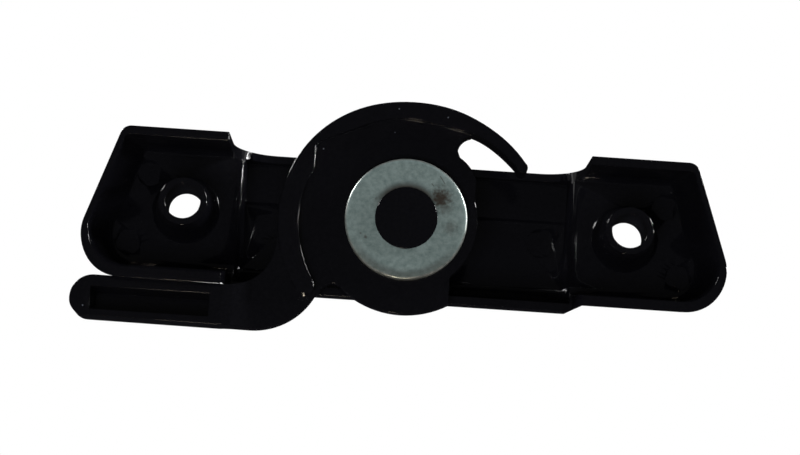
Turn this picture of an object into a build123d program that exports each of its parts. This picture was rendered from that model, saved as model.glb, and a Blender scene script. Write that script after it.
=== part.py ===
from build123d import *
from math import cos, radians, sin, tan
import os

# Sash lock, sash side down. All sizes are in millimetres.
# Origin: pivot axis on the mounting plane, midway between the two screw holes.
# +Z is up off the sash, +Y is towards the keeper, +X is the side the lever lies on when locked.

# Mounting
SCREW_SPACING = 63.5
SCREW_BORE = 5.0
COUNTERSINK_DIA = 9.6
SINK_RELIEF = 0.2
BOSS_LAND_DIA = 6.8
BOSS_ROOT_DIA = 9.0
BOSS_FLARE_DIA = 10.4
BOSS_FLARE_DEPTH = 0.8
BOSS_SINK = 0.4

# Housing outline on the sash
FRONT_Y = 10.45
PAD_REAR_Y = -10.95
END_CORNER_X = 41.0
END_SLANT = 18.0
FRONT_CORNER_R = 1.6
REAR_CORNER_R = 5.9

# Housing skin
PAD_HEIGHT = 9.4
DECK_HEIGHT = 16.0
DECK_REAR_Y = -11.2
DECK_HALF = 23.7
SHOULDER_END = 26.9
FRONT_LEAN = 1.6
FRONT_ROUND = 2.0
PAD_REAR_LEAN = 11.0
PAD_REAR_LAND = 1.6
PAD_REAR_ROUND = 6.0
DECK_REAR_ROUND = 8.0
SHOULDER_SINK = 0.12
END_LEAN = 9.0
PAD_ROUND = 3.4
FRONT_SHARE = 0.6
REAR_SHARE = 1.7
CORNER_TAPER = 0.6
ROUND_TURNS = (0, 18, 36, 54, 72, 90)

# Housing walls
FRONT_WALL = 1.25
END_WALL = 0.7
PAD_REAR_WALL = 1.3
DECK_REAR_WALL = 1.15
DECK_LIP = 1.2
RISER_DRAFT = 0.7
PAD_FLOOR = 7.0
PAD_COVE = 1.6
END_POCKET_DRAFT = 2.4
POCKET_RIM_R = 5.2
POCKET_FLOOR_R = 4.2
DECK_HALF_INSIDE = 24.2
DECK_FLOOR_FRONT = 13.1
DECK_FLOOR_REAR = 13.9
FLOOR_STEP_Y = 3.2
FLOOR_STEP_RUN = 0.5
ARCH_FOOT_X = 26.0
ARCH_TOP_X = 25.4
ARCH_TOP = 11.95
ARCH_R = 6.3
LEVER_GATE_TOP = 6.0
LEVER_GATE_HALF = 24.6
LEVER_GATE_FOOT = 25.6
LEVER_GATE_DEPTH = 3.0
OVERCUT = 1.0

# Ejector pin marks, sunk a little into the floors
MARK_DEPTH = 0.15
PAD_MARK_R = 1.85
DECK_MARK_R = 2.15
PAD_MARKS = ((37.4, 5.1), (39.7, -5.1))
DECK_MARK_X = 20.2

# Pivot: post cast with the housing, washer staked under its end
POST_DIA = 10.0
POST_BOSS_DIA = 16.0
POST_BOSS_FACE = 10.8
POST_ROOT = 0.1
SPIGOT_DIA = 8.5
HEAD_DIA = 8.9
HEAD_TIP = 1.25
HEAD_ROUND = 0.35
HEAD_FLAT_R = 0.5
DENT_R = 0.7
DENT_DEPTH = 0.12
DENT_AT = (-0.35, 1.3)
WASHER_DIA = 17.5
WASHER_BORE = 8.73
WASHER_NEAR = 1.8
WASHER_THICK = 1.5
WASHER_ROLL = 1.1
WASHER_ROLL_DEPTH = 0.4
BORE_CLEARANCE = 0.08

# Spring washer: a shallow cone between the hub and the boss
SPRING_DIA = 15.0
SPRING_THICK = 0.5
SPRING_CONE = 0.65
SPRING_PLAY = 0.25

# Cam: polar stations of the hooked rim as (angle, inner radius, outer radius)
RIM_STATIONS = (
    (-38.0, 16.0, 18.6),
    (-10.0, 15.4, 18.3),
    (16.0, 15.2, 18.05),
    (40.0, 14.95, 17.8),
    (65.0, 14.9, 17.4),
    (90.0, 14.65, 17.15),
    (112.0, 14.85, 17.5),
    (125.0, 15.9, 17.85),
    (138.0, 16.72, 18.4),
    (151.0, 17.6, 19.0),
)

# Web outline by the hook, each point as (angle, radius)
HOOK_NECK = ((123.5, 15.6), (121.0, 14.0), (123.0, 12.6))
SHOULDER_STATIONS = ((126.5, 12.1), (136.0, 12.1), (146.0, 11.75))
SHOULDER_FOOT = (163.0, 10.15)

# Cam heights, hub and rear lobe
RIM_NEAR = 2.0
RIM_TIP_BULGE = 3.6
WEB_NEAR = 3.35
WEB_FAR = 5.7
HUB_DIA = 20.5
HUB_NECK_DIA = 19.0
HUB_FAR = 9.6
LOBE_R = 13.5
LOBE_CENTRE = (-0.05, 0.0)
LOBE_DRAFT = 0.06
LOBE_EDGE_X = -6.75
LOBE_END_ANGLE = -46.0
NOTCH_R = 2.0
NOTCH_CENTRE = (9.8, -11.8)
RELIEF_CORNER = (13.6, 10.3)
RELIEF_END = (6.3, 13.55)
RELIEF_R = 0.8

# Lever
HANDLE_NEAR = 1.6
HANDLE_FAR = 7.6
HANDLE_INNER_Y = -11.22
HANDLE_OUTER_Y = -17.05
HANDLE_SKEW = 0.15
HANDLE_TIP_X = 46.7
HANDLE_TIP_INNER_R = 3.3
HANDLE_TIP_OUTER_R = 2.3
ARM_INNER_R = 6.95
ARM_INNER_X = 25.2
ARM_OUTER_X = 21.2
ARM_OUTER_R = 10.05
ARM_WAIST_ANGLE = 206.0
ARM_ELBOW_ANGLE = 240.0
ARM_IN_RIM = (17.0, 5.0)
ARM_SHOULDER = (6.5, 18.45)
ARM_ROOT_DEPTH = 9.25
RAMP_START_X = 19.8
RAMP_END_X = 25.2
STEP_START_X = 23.7
CREST_X = 28.5
RAMP_SHARES = ((0, 0), (0.25, 0.12), (0.75, 0.88), (1, 1))
HANDLE_ROUND = 1.4
POCKET_X = (27.0, 43.8)
POCKET_Y = (-12.7, -16.0)
POCKET_FLOOR = 6.2
POCKET_DRAFT = 0.6

WEB_THICK = WEB_FAR - WEB_NEAR


def polar(angle, radius):
    return (radius * cos(radians(angle)), radius * sin(radians(angle)))


def plan_outline(front, rear, inset, front_r, rear_r, z):
    """Closed plan shape of the housing, straight front and rear, slanted ends."""
    def end_x(y):
        slant = radians(END_SLANT)
        return END_CORNER_X + (FRONT_Y - y) * tan(slant) - inset / cos(slant)

    corners = [
        (end_x(front), front),
        (-end_x(front), front),
        (-end_x(rear), rear),
        (end_x(rear), rear),
    ]
    line = FilletPolyline(*corners, radius=[front_r, front_r, rear_r, rear_r], close=True)
    return Pos(0, 0, z) * make_face(line)


def side_profile(x, height, lean, rear_r, front, rear, front_r):
    """Closed side view: upright front, top, rounded and leaning rear."""
    a = radians(lean)
    front_top = front - height * tan(radians(FRONT_LEAN))
    centre_y = rear + (rear_r + (height - rear_r) * sin(a)) / cos(a)
    centre_z = height - rear_r
    foot = (centre_y - rear_r * cos(a), centre_z + rear_r * sin(a))
    mid_angle = radians(90 + (90 - lean) / 2)
    middle = (centre_y + rear_r * cos(mid_angle), centre_z + rear_r * sin(mid_angle))
    bend = front_r * (1 - cos(radians(45)))
    curves = [
        Line((front, 0), (front_top, height - front_r)),
        ThreePointArc(
            (front_top, height - front_r),
            (front_top - bend, height - bend),
            (front_top - front_r, height),
        ),
        Line((front_top - front_r, height), (centre_y, height)),
        ThreePointArc((centre_y, height), middle, foot),
        Line(foot, (rear, 0)),
        Line((rear, 0), (front, 0)),
    ]
    return Plane.YZ.offset(x) * make_face(curves)


def deck_section(x):
    """Side view of the deck's outer skin, with an upright rear."""
    return side_profile(x, DECK_HEIGHT, 0, DECK_REAR_ROUND, FRONT_Y, DECK_REAR_Y, FRONT_ROUND)


def shoulder_foot(x):
    """Side view of the skin where a shoulder runs out, just inside the pad."""
    height = PAD_HEIGHT - SHOULDER_SINK
    rear = PAD_REAR_Y + SHOULDER_SINK
    return side_profile(x, height, PAD_REAR_LEAN, PAD_REAR_ROUND, FRONT_Y, rear, FRONT_ROUND)


def pad_rear(z):
    """Rear face of a pad at height z: upright over a short land, then leaning forward."""
    return PAD_REAR_Y + max(z - PAD_REAR_LAND, 0) * tan(radians(PAD_REAR_LEAN))


def pad_block():
    """Low base of the housing: leaning walls, then one rounding all the way round the top."""
    spring_z = PAD_HEIGHT - PAD_ROUND

    def ring(z, turn):
        pull = PAD_ROUND * (1 - cos(radians(turn)))
        rise = min(z, spring_z)
        return plan_outline(
            FRONT_Y - rise * tan(radians(FRONT_LEAN)) - pull * FRONT_SHARE,
            pad_rear(rise) + pull * REAR_SHARE,
            rise * tan(radians(END_LEAN)) + pull,
            FRONT_CORNER_R,
            REAR_CORNER_R - CORNER_TAPER * pull,
            z,
        )

    wall = loft([ring(0, 0), ring(PAD_REAR_LAND, 0), ring(spring_z, 0)], ruled=True)
    rings = [ring(spring_z + PAD_ROUND * sin(radians(t)), t) for t in ROUND_TURNS]
    top = loft(rings, ruled=True)
    return wall, top


def housing_skin():
    """Outer form: raised deck with a sloping shoulder at each end, on a low rounded base."""
    deck = extrude(deck_section(-DECK_HALF), amount=2 * DECK_HALF, dir=(1, 0, 0))
    shoulder = loft([deck_section(DECK_HALF), shoulder_foot(SHOULDER_END)], ruled=True)
    wall, top = pad_block()
    return wall + top + deck + shoulder + mirror(shoulder, Plane.YZ)


def deck_cavity():
    """Room for the cam under the deck, with one step in its ceiling and a coved rear."""
    front = FRONT_Y - ARCH_TOP * tan(radians(FRONT_LEAN)) - DECK_LIP
    inner_round = DECK_REAR_ROUND - DECK_REAR_WALL
    cove_y = DECK_REAR_Y + DECK_REAR_ROUND
    cove_z = DECK_HEIGHT - DECK_REAR_ROUND
    rise = (DECK_FLOOR_REAR - cove_z) / inner_round
    crease = (cove_y - inner_round * (1 - rise**2) ** 0.5, DECK_FLOOR_REAR)
    wall = (cove_y - inner_round, cove_z)
    middle = (cove_y - inner_round * cos(radians(30)), cove_z + inner_round * sin(radians(30)))
    curves = [
        Line((front, -OVERCUT), (front, DECK_FLOOR_FRONT)),
        Line((front, DECK_FLOOR_FRONT), (FLOOR_STEP_Y, DECK_FLOOR_FRONT)),
        Line((FLOOR_STEP_Y, DECK_FLOOR_FRONT), (FLOOR_STEP_Y - FLOOR_STEP_RUN, DECK_FLOOR_REAR)),
        Line((FLOOR_STEP_Y - FLOOR_STEP_RUN, DECK_FLOOR_REAR), crease),
        ThreePointArc(crease, middle, wall),
        Line(wall, (wall[0], -OVERCUT)),
        Line((wall[0], -OVERCUT), (front, -OVERCUT)),
    ]
    side = make_face(curves)
    along = extrude(Plane.YZ.offset(-DECK_HALF_INSIDE) * side, 2 * DECK_HALF_INSIDE, dir=(1, 0, 0))
    top_half = DECK_HALF_INSIDE - RISER_DRAFT
    front_view = Polyline(
        (-DECK_HALF_INSIDE, -2 * OVERCUT),
        (-DECK_HALF_INSIDE, PAD_FLOOR),
        (-top_half, DECK_FLOOR_REAR + OVERCUT),
        (top_half, DECK_FLOOR_REAR + OVERCUT),
        (DECK_HALF_INSIDE, PAD_FLOOR),
        (DECK_HALF_INSIDE, -2 * OVERCUT),
        close=True,
    )
    across = extrude(Plane.XZ * make_face(front_view), DECK_HALF, both=True)
    return along & across


def base_pocket():
    """Open underside of both pads: drafted walls, then a cove all round up to the floor."""
    spring_z = PAD_FLOOR - PAD_COVE

    def ring(z, turn):
        pull = PAD_COVE * (1 - cos(radians(turn)))
        return plan_outline(
            FRONT_Y - FRONT_WALL - z * tan(radians(FRONT_LEAN)) - FRONT_SHARE * pull,
            pad_rear(min(z, spring_z)) + PAD_REAR_WALL + pull,
            END_WALL + END_POCKET_DRAFT * z / PAD_FLOOR,
            FRONT_CORNER_R / 2,
            POCKET_RIM_R + (POCKET_FLOOR_R - POCKET_RIM_R) * z / PAD_FLOOR,
            z,
        )

    wall = loft([ring(-OVERCUT, 0), ring(spring_z, 0)], ruled=True)
    rings = [ring(spring_z + PAD_COVE * sin(radians(t)), t) for t in ROUND_TURNS]
    cove = loft(rings, ruled=True)
    return wall + cove


def front_arch():
    """Opening in the front wall that lets the cam swing out, as seen from the front."""
    sketch = make_face(
        Polyline(
            (-ARCH_FOOT_X, -OVERCUT),
            (-ARCH_TOP_X, ARCH_TOP),
            (ARCH_TOP_X, ARCH_TOP),
            (ARCH_FOOT_X, -OVERCUT),
            close=True,
        )
    )
    sketch = fillet(sketch.vertices().sort_by(Axis.Y)[-2:], ARCH_R)
    depth = FRONT_WALL + 2 * OVERCUT
    return extrude(Plane.XZ.offset(-FRONT_Y - OVERCUT) * sketch, depth)


def lever_gate():
    """Gap under the rear wall of the deck, where the lever sweeps through."""
    sketch = make_face(
        Polyline(
            (-LEVER_GATE_FOOT, -OVERCUT),
            (-LEVER_GATE_FOOT, 0),
            (-LEVER_GATE_HALF, LEVER_GATE_TOP),
            (LEVER_GATE_HALF, LEVER_GATE_TOP),
            (LEVER_GATE_FOOT, 0),
            (LEVER_GATE_FOOT, -OVERCUT),
            close=True,
        )
    )
    return extrude(Plane.XZ.offset(-DECK_REAR_Y) * sketch, LEVER_GATE_DEPTH, both=True)


def screw_boss(x):
    """Tapered boss from the sash face up into the pad, flared where it meets the floor."""
    profile = make_face(
        Polyline(
            (0, 0),
            (BOSS_LAND_DIA / 2, 0),
            (BOSS_ROOT_DIA / 2, PAD_FLOOR - BOSS_FLARE_DEPTH),
            (BOSS_FLARE_DIA / 2, PAD_FLOOR + BOSS_SINK),
            (0, PAD_FLOOR + BOSS_SINK),
            close=True,
        )
    )
    return Pos(x, 0, 0) * revolve(Plane.XZ * profile, Axis.Z)


def screw_cut(x):
    """Through bore, countersink for a flat-head screw, and room above for its head."""
    bore = Pos(x, 0, PAD_HEIGHT / 2) * Cylinder(SCREW_BORE / 2, PAD_HEIGHT + 2)
    mouth_r = COUNTERSINK_DIA / 2 + SINK_RELIEF
    sink = mouth_r - SCREW_BORE / 2
    mouth_z = PAD_HEIGHT + SINK_RELIEF
    cone = Pos(x, 0, mouth_z - sink / 2) * Cone(SCREW_BORE / 2, mouth_r, sink)
    room = Pos(x, 0, mouth_z + PAD_HEIGHT / 2) * Cylinder(mouth_r, PAD_HEIGHT)
    return bore + cone + room


def ejector_marks():
    """Round marks that the ejector pins leave in the pad floors and the deck ceiling."""
    marks = []
    for side in (-1, 1):
        for x, y in PAD_MARKS:
            marks.append(Pos(side * x, y, PAD_FLOOR) * Cylinder(PAD_MARK_R, 2 * MARK_DEPTH))
        place = Pos(side * DECK_MARK_X, 0, DECK_FLOOR_REAR)
        marks.append(place * Cylinder(DECK_MARK_R, 2 * MARK_DEPTH))
    return marks


def pivot_post():
    """Post under the deck: boss, shaft, and the end staked over the washer."""
    shaft = POST_DIA / 2
    spigot = SPIGOT_DIA / 2
    head = HEAD_DIA / 2
    shoulder = WASHER_NEAR + WASHER_THICK
    seat = WASHER_NEAR
    dome_foot = seat - HEAD_ROUND
    root = DECK_FLOOR_REAR + POST_ROOT
    dome_r = (head**2 + (dome_foot - HEAD_TIP) ** 2) / (2 * (dome_foot - HEAD_TIP))

    def dome_z(r):
        return HEAD_TIP + dome_r - (dome_r**2 - r**2) ** 0.5

    curves = [
        Polyline(
            (HEAD_FLAT_R, dome_z(HEAD_FLAT_R)),
            (0, dome_z(HEAD_FLAT_R)),
            (0, root),
            (POST_BOSS_DIA / 2, root),
            (POST_BOSS_DIA / 2, POST_BOSS_FACE),
            (shaft, POST_BOSS_FACE),
            (shaft, shoulder),
            (spigot, shoulder),
            (spigot, seat),
            (head, seat),
            (head, dome_foot),
        ),
        ThreePointArc(
            (head, dome_foot),
            (head / 2, dome_z(head / 2)),
            (HEAD_FLAT_R, dome_z(HEAD_FLAT_R)),
        ),
    ]
    post = revolve(Plane.XZ * make_face(curves), Axis.Z)
    ball_r = (DENT_R**2 + DENT_DEPTH**2) / (2 * DENT_DEPTH)
    dent = Pos(DENT_AT[0], DENT_AT[1], HEAD_TIP + DENT_DEPTH - ball_r) * Rot(X=90) * Sphere(ball_r)
    return post - dent


def housing():
    body = housing_skin() - deck_cavity()
    body = body - base_pocket() - front_arch() - lever_gate()
    for side in (-1, 1):
        body += screw_boss(side * SCREW_SPACING / 2)
        body -= screw_cut(side * SCREW_SPACING / 2)
    for mark in ejector_marks():
        body -= mark
    return body + pivot_post()


def rim_band(near, far):
    """Hooked rim between two spirals, rounded at the hook tip and at its tail."""
    inner = [polar(a, r) for a, r, _ in RIM_STATIONS]
    outer = [polar(a, r) for a, _, r in RIM_STATIONS]

    def cap(station, turn):
        angle, low, high = RIM_STATIONS[station]
        return polar(angle + turn, (low + high) / 2)

    curves = [
        Spline(*inner),
        ThreePointArc(inner[-1], cap(-1, RIM_TIP_BULGE), outer[-1]),
        Spline(*reversed(outer)),
        ThreePointArc(outer[0], cap(0, -RIM_TIP_BULGE), inner[0]),
    ]
    return Pos(0, 0, near) * extrude(make_face(curves), far - near)


def web_sector():
    """Flat web between hub and rim, from the tail of the rim round to the hook."""
    mid = [polar(a, (low + high) / 2) for a, low, high in RIM_STATIONS[:-2]]
    root, cheek, heel = [polar(*station) for station in HOOK_NECK]
    shoulder, shoulder_mid, shoulder_end = [polar(*station) for station in SHOULDER_STATIONS]
    hub_side = polar(*SHOULDER_FOOT)
    curves = [
        Line((0, 0), mid[0]),
        Spline(*mid),
        Line(mid[-1], root),
        ThreePointArc(root, cheek, heel),
        Line(heel, shoulder),
        ThreePointArc(shoulder, shoulder_mid, shoulder_end),
        Line(shoulder_end, hub_side),
        Line(hub_side, (0, 0)),
    ]
    return make_face(curves)


def lobe():
    """Rear lobe of the web: drafted, round about a centre near the pivot, cut straight."""
    low = WEB_NEAR
    drafted = Cone(LOBE_R, LOBE_R - LOBE_DRAFT, WEB_THICK)
    drafted = Pos(LOBE_CENTRE[0], LOBE_CENTRE[1], low + WEB_THICK / 2) * drafted
    reach = 2 * LOBE_R
    sector = Polyline(
        (LOBE_EDGE_X, 0),
        (LOBE_EDGE_X, -reach),
        (reach * cos(radians(LOBE_END_ANGLE)), -reach),
        polar(LOBE_END_ANGLE, reach),
        (0, 0),
        close=True,
    )
    return drafted & Pos(0, 0, low) * extrude(make_face(sector), WEB_THICK)


def arm_face():
    """Plan of the lever arm and handle, leaving the rim and bending along the housing."""
    inner_centre = (ARM_INNER_X, HANDLE_INNER_Y + ARM_INNER_R)
    elbow = (inner_centre[0] - ARM_INNER_R, inner_centre[1])
    bend = (
        inner_centre[0] - ARM_INNER_R * cos(radians(45)),
        inner_centre[1] - ARM_INNER_R * sin(radians(45)),
    )
    outer_centre = (ARM_OUTER_X, HANDLE_OUTER_Y + ARM_OUTER_R)

    def on_outer(angle):
        a = radians(angle)
        return (outer_centre[0] + ARM_OUTER_R * cos(a), outer_centre[1] + ARM_OUTER_R * sin(a))

    waist = on_outer(ARM_WAIST_ANGLE)
    tip_inner = (HANDLE_TIP_X, HANDLE_INNER_Y + HANDLE_SKEW)
    tip_outer = (HANDLE_TIP_X, HANDLE_OUTER_Y + HANDLE_SKEW)
    root_x = HUB_DIA / 4
    shoulder = polar(*ARM_SHOULDER)
    curves = [
        Line((root_x, 0), ARM_IN_RIM),
        Line(ARM_IN_RIM, shoulder),
        Line(shoulder, elbow),
        ThreePointArc(elbow, bend, (ARM_INNER_X, HANDLE_INNER_Y)),
        Line((ARM_INNER_X, HANDLE_INNER_Y), tip_inner),
        Line(tip_inner, tip_outer),
        Line(tip_outer, (ARM_OUTER_X, HANDLE_OUTER_Y)),
        ThreePointArc((ARM_OUTER_X, HANDLE_OUTER_Y), on_outer(ARM_ELBOW_ANGLE), waist),
        Line(waist, (root_x, -ARM_ROOT_DEPTH)),
        Line((root_x, -ARM_ROOT_DEPTH), (root_x, 0)),
    ]
    face = make_face(curves)
    tip = face.vertices().sort_by(Axis.X)[-2:].sort_by(Axis.Y)
    face = fillet(tip[-1], HANDLE_TIP_INNER_R)
    tip = face.vertices().sort_by(Axis.Y)[:2].sort_by(Axis.X)
    return fillet(tip[-1], HANDLE_TIP_OUTER_R)


def soft_ramp(start, end):
    """Side view of a face that goes from one point to another and flattens at both."""
    run = end[0] - start[0]
    rise = end[1] - start[1]
    return [(start[0] + run * along, start[1] + rise * up) for along, up in RAMP_SHARES]


def side_limits(near_ramp, far_ramp):
    """Block that holds the arm between its near face and its far face, each with its ramp."""
    start = -HANDLE_TIP_X
    side = Polyline((start, WEB_NEAR), *near_ramp, *far_ramp, (start, WEB_FAR), close=True)
    width = 2 * HANDLE_TIP_X
    return extrude(Plane.XZ.offset(-width / 2) * make_face(side), width)


def lever_arm():
    """Arm: thin under the housing, and only its near face swells before it leaves."""
    end = HANDLE_TIP_X + 1
    near_ramp = soft_ramp((RAMP_START_X, WEB_NEAR), (RAMP_END_X, HANDLE_NEAR)) + [(end, HANDLE_NEAR)]
    arm = extrude(Pos(0, 0, HANDLE_NEAR) * arm_face(), WEB_FAR - HANDLE_NEAR)
    return arm & side_limits(near_ramp, ((end, WEB_FAR),))


def handle_bar():
    """Handle outside the housing: full height, its upper edges rounded for the finger."""
    start = RAMP_START_X
    height = HANDLE_FAR - HANDLE_NEAR
    plan = Polyline(
        (start, HANDLE_INNER_Y),
        (HANDLE_TIP_X, HANDLE_INNER_Y + HANDLE_SKEW),
        (HANDLE_TIP_X, HANDLE_OUTER_Y + HANDLE_SKEW),
        (start, HANDLE_OUTER_Y),
        close=True,
    )
    bar = extrude(Pos(0, 0, HANDLE_NEAR) * make_face(plan), height)
    uprights = bar.edges().filter_by(Axis.Z).sort_by(Axis.X)[-2:].sort_by(Axis.Y)
    bar = fillet(uprights[-1], HANDLE_TIP_INNER_R)
    uprights = bar.edges().filter_by(Axis.Z).sort_by(Axis.Y)[:2].sort_by(Axis.X)
    bar = fillet(uprights[-1], HANDLE_TIP_OUTER_R)
    crest = bar.edges().group_by(Axis.Z)[-1].sort_by(Axis.X)[1:]
    bar = fillet(crest, HANDLE_ROUND)
    end = HANDLE_TIP_X + 1
    near_ramp = soft_ramp((RAMP_START_X, WEB_NEAR), (RAMP_END_X, HANDLE_NEAR)) + [(end, HANDLE_NEAR)]
    far_ramp = [(end, HANDLE_FAR)] + soft_ramp((CREST_X, HANDLE_FAR), (STEP_START_X, WEB_FAR))
    arm_plan = extrude(Pos(0, 0, HANDLE_NEAR) * arm_face(), height)
    return bar & side_limits(near_ramp, far_ramp) & arm_plan


def rim_relief():
    """Shallow corner cut out of the rim's inner edge, down to the web."""
    corners = [(RELIEF_CORNER[0], 0), RELIEF_CORNER, RELIEF_END, (0, 0)]
    outline = make_face(Polyline(*corners, close=True))
    corner = outline.vertices().sort_by(Axis.Y)[-2]
    return extrude(fillet(corner, RELIEF_R), WEB_NEAR)


def cam_lever():
    """One casting: hub, web, hooked rim, rear lobe, arm and cored handle."""
    web = Pos(0, 0, WEB_NEAR) * extrude(web_sector() + Circle(HUB_DIA / 2), WEB_THICK)
    rim = rim_band(RIM_NEAR, WEB_FAR) - rim_relief()
    solid = web + rim + lobe() + lever_arm() + handle_bar()
    solid += Pos(0, 0, (WEB_NEAR + HUB_FAR) / 2) * Cylinder(HUB_NECK_DIA / 2, HUB_FAR - WEB_NEAR)
    notch_at = Pos(NOTCH_CENTRE[0], NOTCH_CENTRE[1], WEB_NEAR + WEB_THICK / 2)
    solid -= notch_at * Cylinder(NOTCH_R, 2 * WEB_THICK)
    bore = POST_DIA / 2 + BORE_CLEARANCE
    solid -= Pos(0, 0, HUB_FAR / 2) * Cylinder(bore, HUB_FAR + 4)
    return solid - handle_core()


def handle_core():
    """Cored pocket in the handle's near face, drafted so that the casting leaves its die."""
    length = POCKET_X[1] - POCKET_X[0]
    width = POCKET_Y[0] - POCKET_Y[1]
    depth = POCKET_FLOOR - HANDLE_NEAR
    floor = Rectangle(length - POCKET_DRAFT, width - POCKET_DRAFT)
    core = loft([Rectangle(length, width), Pos(0, 0, depth) * floor])
    middle = ((POCKET_X[0] + POCKET_X[1]) / 2, (POCKET_Y[0] + POCKET_Y[1]) / 2)
    return Pos(middle[0], middle[1], HANDLE_NEAR) * core


def retaining_washer():
    """Flat plated washer with a rolled-off edge, held on the post's shoulder by the staked end."""
    bore = WASHER_BORE / 2
    edge = WASHER_DIA / 2
    far = WASHER_NEAR + WASHER_THICK
    profile = Polyline(
        (bore, WASHER_NEAR),
        (edge - WASHER_ROLL, WASHER_NEAR),
        (edge - WASHER_ROLL / 2, WASHER_NEAR + WASHER_ROLL_DEPTH / 4),
        (edge, WASHER_NEAR + WASHER_ROLL_DEPTH),
        (edge, far),
        (bore, far),
        close=True,
    )
    return revolve(Plane.XZ * make_face(profile), Axis.Z)


def spring_washer():
    """Shallow cone spring that presses the hub down on the washer."""
    inner = POST_DIA / 2 + SPRING_PLAY
    outer = SPRING_DIA / 2
    low = POST_BOSS_FACE - SPRING_CONE - SPRING_THICK
    profile = Polyline(
        (inner, low + SPRING_CONE),
        (outer, low),
        (outer, low + SPRING_THICK),
        (inner, low + SPRING_CONE + SPRING_THICK),
        close=True,
    )
    return revolve(Plane.XZ * make_face(profile), Axis.Z)


def main():
    os.makedirs("parts", exist_ok=True)
    parts = {
        "housing": housing(),
        "cam_lever": cam_lever(),
        "retaining_washer": retaining_washer(),
        "spring_washer": spring_washer(),
    }
    for name, shape in parts.items():
        export_step(shape, f"parts/{name}.step")


main()
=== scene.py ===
import logging
import math
from dataclasses import dataclass
from enum import Enum
from typing import Mapping, Sequence, Union

import bmesh
import bpy
import numpy as np
from mathutils import Matrix, Vector


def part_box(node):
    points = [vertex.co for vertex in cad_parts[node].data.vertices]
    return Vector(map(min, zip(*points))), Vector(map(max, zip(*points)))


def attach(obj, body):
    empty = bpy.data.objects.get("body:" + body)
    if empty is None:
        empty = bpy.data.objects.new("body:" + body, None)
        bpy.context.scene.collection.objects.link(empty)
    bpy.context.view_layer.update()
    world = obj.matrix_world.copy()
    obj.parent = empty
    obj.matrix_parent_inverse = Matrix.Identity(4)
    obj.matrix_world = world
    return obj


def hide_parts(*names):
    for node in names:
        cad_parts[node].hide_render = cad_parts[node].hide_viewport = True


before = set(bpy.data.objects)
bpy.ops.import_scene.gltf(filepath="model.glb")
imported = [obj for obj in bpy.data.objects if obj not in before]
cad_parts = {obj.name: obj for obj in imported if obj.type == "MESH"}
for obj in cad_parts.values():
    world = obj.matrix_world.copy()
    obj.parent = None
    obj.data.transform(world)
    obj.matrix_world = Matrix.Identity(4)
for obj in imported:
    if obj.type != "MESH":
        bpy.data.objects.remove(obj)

LOG = logging.getLogger("sash_lock")
MM = 0.001
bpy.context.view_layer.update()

# Heights over the sash face of the faces that carry blemishes, in millimetres
WASHER_FACE = 1.8
RIM_FACE = 2.0
WEB_FACE = 3.35
HANDLE_FACE = 1.6

# Shares of a spot's radius: full up to the first, gone past the second
SPOT_CORE = 0.6
SPOT_RIM = 1.4

# Corners closer than the first are one, and a cut takes those within the second, in millimetres
WELD = 0.002
CUT_SLACK = 0.0001

# Width of the picture that the focal length is given for, in pixels
PICTURE_WIDTH = 800

SocketValue = Union[float, Sequence[float], bpy.types.NodeSocket]


class Body(str, Enum):
    """The two bodies of the lock, by their names in the frame."""

    BASE = "base"
    CAM = "cam"


class Slot(str, Enum):
    """The material slots of the record."""

    HOUSING = "housing_enamel"
    LEVER = "lever_enamel"
    WASHER = "washer_zinc"
    SPRING = "spring_steel"


def linear(colour: str) -> tuple[float, float, float, float]:
    """Turn an sRGB hex colour to linear light.

    Args:
        colour: the colour as "#rrggbb".

    Returns:
        Red, green, blue and an alpha of 1, each from 0 to 1.
    """
    parts = [int(colour[i:i + 2], 16) / 255 for i in (1, 3, 5)]
    red, green, blue = [p / 12.92 if p <= 0.04045 else ((p + 0.055) / 1.055) ** 2.4 for p in parts]
    return red, green, blue, 1.0


def add_node(
    tree: bpy.types.NodeTree,
    kind: str,
    settings: Mapping[str, object] | None = None,
    inputs: Mapping[Union[str, int], SocketValue] | None = None,
) -> bpy.types.Node:
    """Add a node, give it its settings, and set or link its inputs.

    Args:
        tree: the node tree that gets the node.
        kind: the node's type name.
        settings: the node's own properties by name.
        inputs: a value or an output socket for each input, by name or number.

    Returns:
        The new node.
    """
    node = tree.nodes.new(kind)
    for name, value in (settings or {}).items():
        setattr(node, name, value)
    for name, value in (inputs or {}).items():
        if isinstance(value, bpy.types.NodeSocket):
            tree.links.new(value, node.inputs[name])
        else:
            node.inputs[name].default_value = value
    return node


def new_tree(name: str) -> tuple[bpy.types.Material, bpy.types.NodeTree]:
    """Make an empty node material.

    Args:
        name: the material's name.

    Returns:
        The material and its node tree.
    """
    material = bpy.data.materials.new(name)
    material.use_nodes = True
    material.node_tree.nodes.clear()
    return material, material.node_tree


@dataclass(frozen=True)
class Spot:
    """A round blemish on a flat face that is square to Z.

    Attributes:
        x: place along X, in millimetres.
        y: place along Y, in millimetres.
        z: height of the face, in millimetres.
        radius: how far it fades out, in millimetres.
        strength: its share of the blemish colour at the centre, from 0 to 1.
    """

    x: float
    y: float
    z: float
    radius: float
    strength: float


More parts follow.
